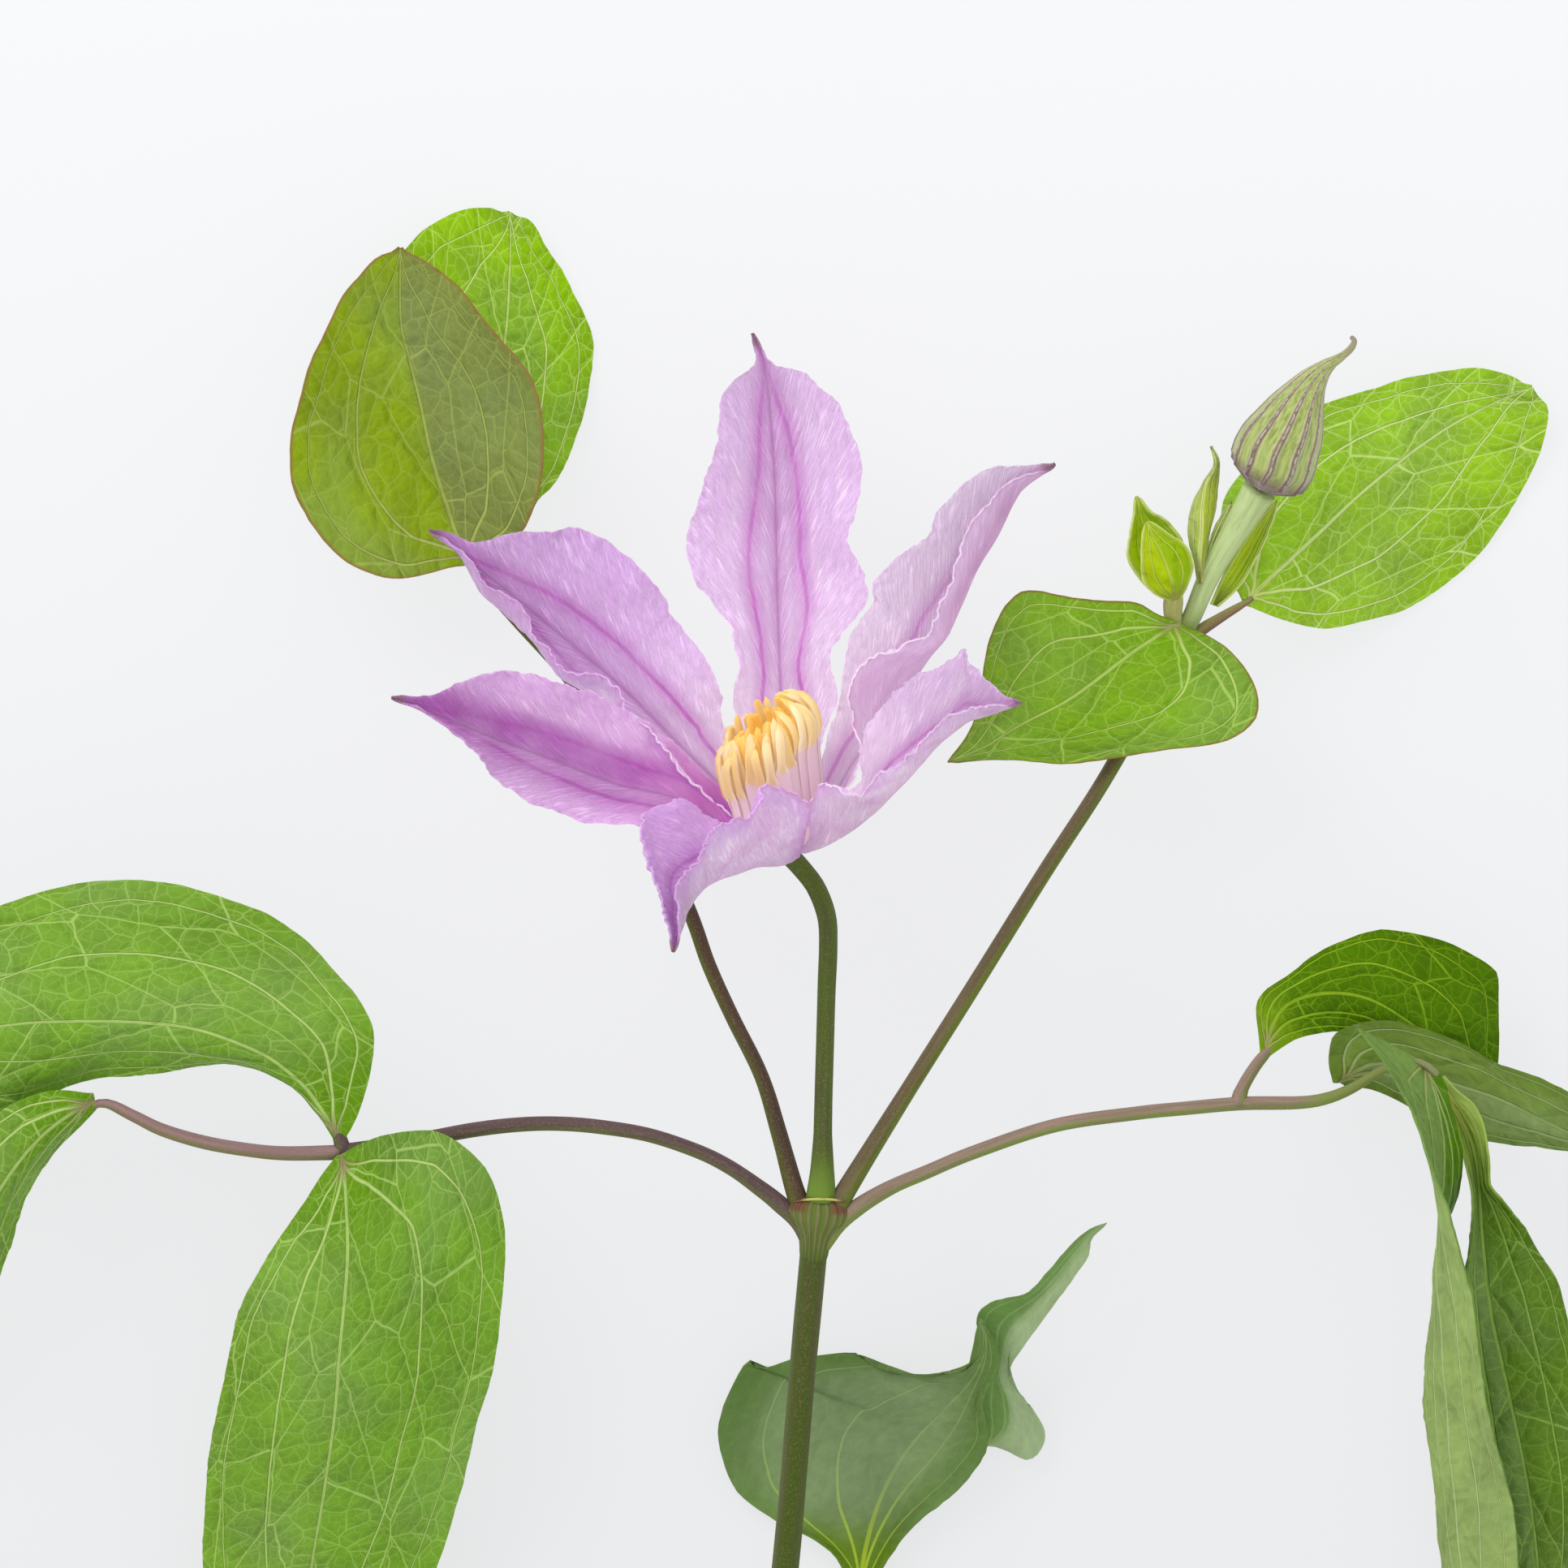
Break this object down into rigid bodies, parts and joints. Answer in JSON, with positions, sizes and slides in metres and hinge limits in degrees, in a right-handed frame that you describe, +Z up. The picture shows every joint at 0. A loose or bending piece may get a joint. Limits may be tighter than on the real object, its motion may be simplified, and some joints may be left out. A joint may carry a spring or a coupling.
{
  "type": "cut clematis shoot",
  "caption": "Cut flowering shoot of a clematis, lying flat: a large open lilac flower, a striped bud, leaf stalks and divided leaves on a thin stem.",
  "frame": {"origin": "centre of the shoot's box seen from above, on the surface that it lies on", "axes": "+Z up from the surface, +Y along the shoot from its cut end towards the flower, +X to the right of it"},
  "size_m": [0.2306, 0.2142, 0.0852],
  "materials": {
    "leaf": "satin green leaf blade with paler veins",
    "leaf_shaded": "satin grey-green leaf blade with paler veins",
    "young_leaf": "soft yellow-green, finely hairy",
    "stem": "matt green, finely ridged",
    "shoot": "matt purple-brown, finely hairy",
    "bud": "silky pale green with purple-brown ribs",
    "sepal": "soft lilac with deeper ribs",
    "anther": "matt pale yellow"
  },
  "bodies": {
    "root": {"stem_main": "stem", "flower_stalk": "stem", "side_shoot_left": "shoot", "side_shoot_right": "shoot", "leaf_stalk_left": "shoot", "leaf_stalk_right": "shoot", "leaf_stalk_rear": "stem", "leaflet_left_upper": "leaf", "leaflet_left_hanging": "leaf", "leaflet_left_end": "leaf", "leaflet_right_upper": "leaf", "leaflet_right_side": "leaf_shaded", "leaflet_right_front": "leaf_shaded", "leaflet_right_hanging": "leaf", "leaf_rear": "leaf_shaded", "leaf_upper_left_front": "leaf", "leaf_upper_left_back": "leaf", "leaf_upper_right_front": "leaf", "leaf_upper_right_back": "leaf", "bud_stalk": "bud", "bud": "bud", "young_leaves_left": "young_leaf", "young_leaves_middle": "young_leaf", "sepal_top": "sepal", "sepal_upper_right": "sepal", "sepal_right": "sepal", "sepal_front": "sepal", "sepal_left": "sepal", "sepal_upper_left": "sepal", "stamens": "anther"}
  },
  "joints": []
}
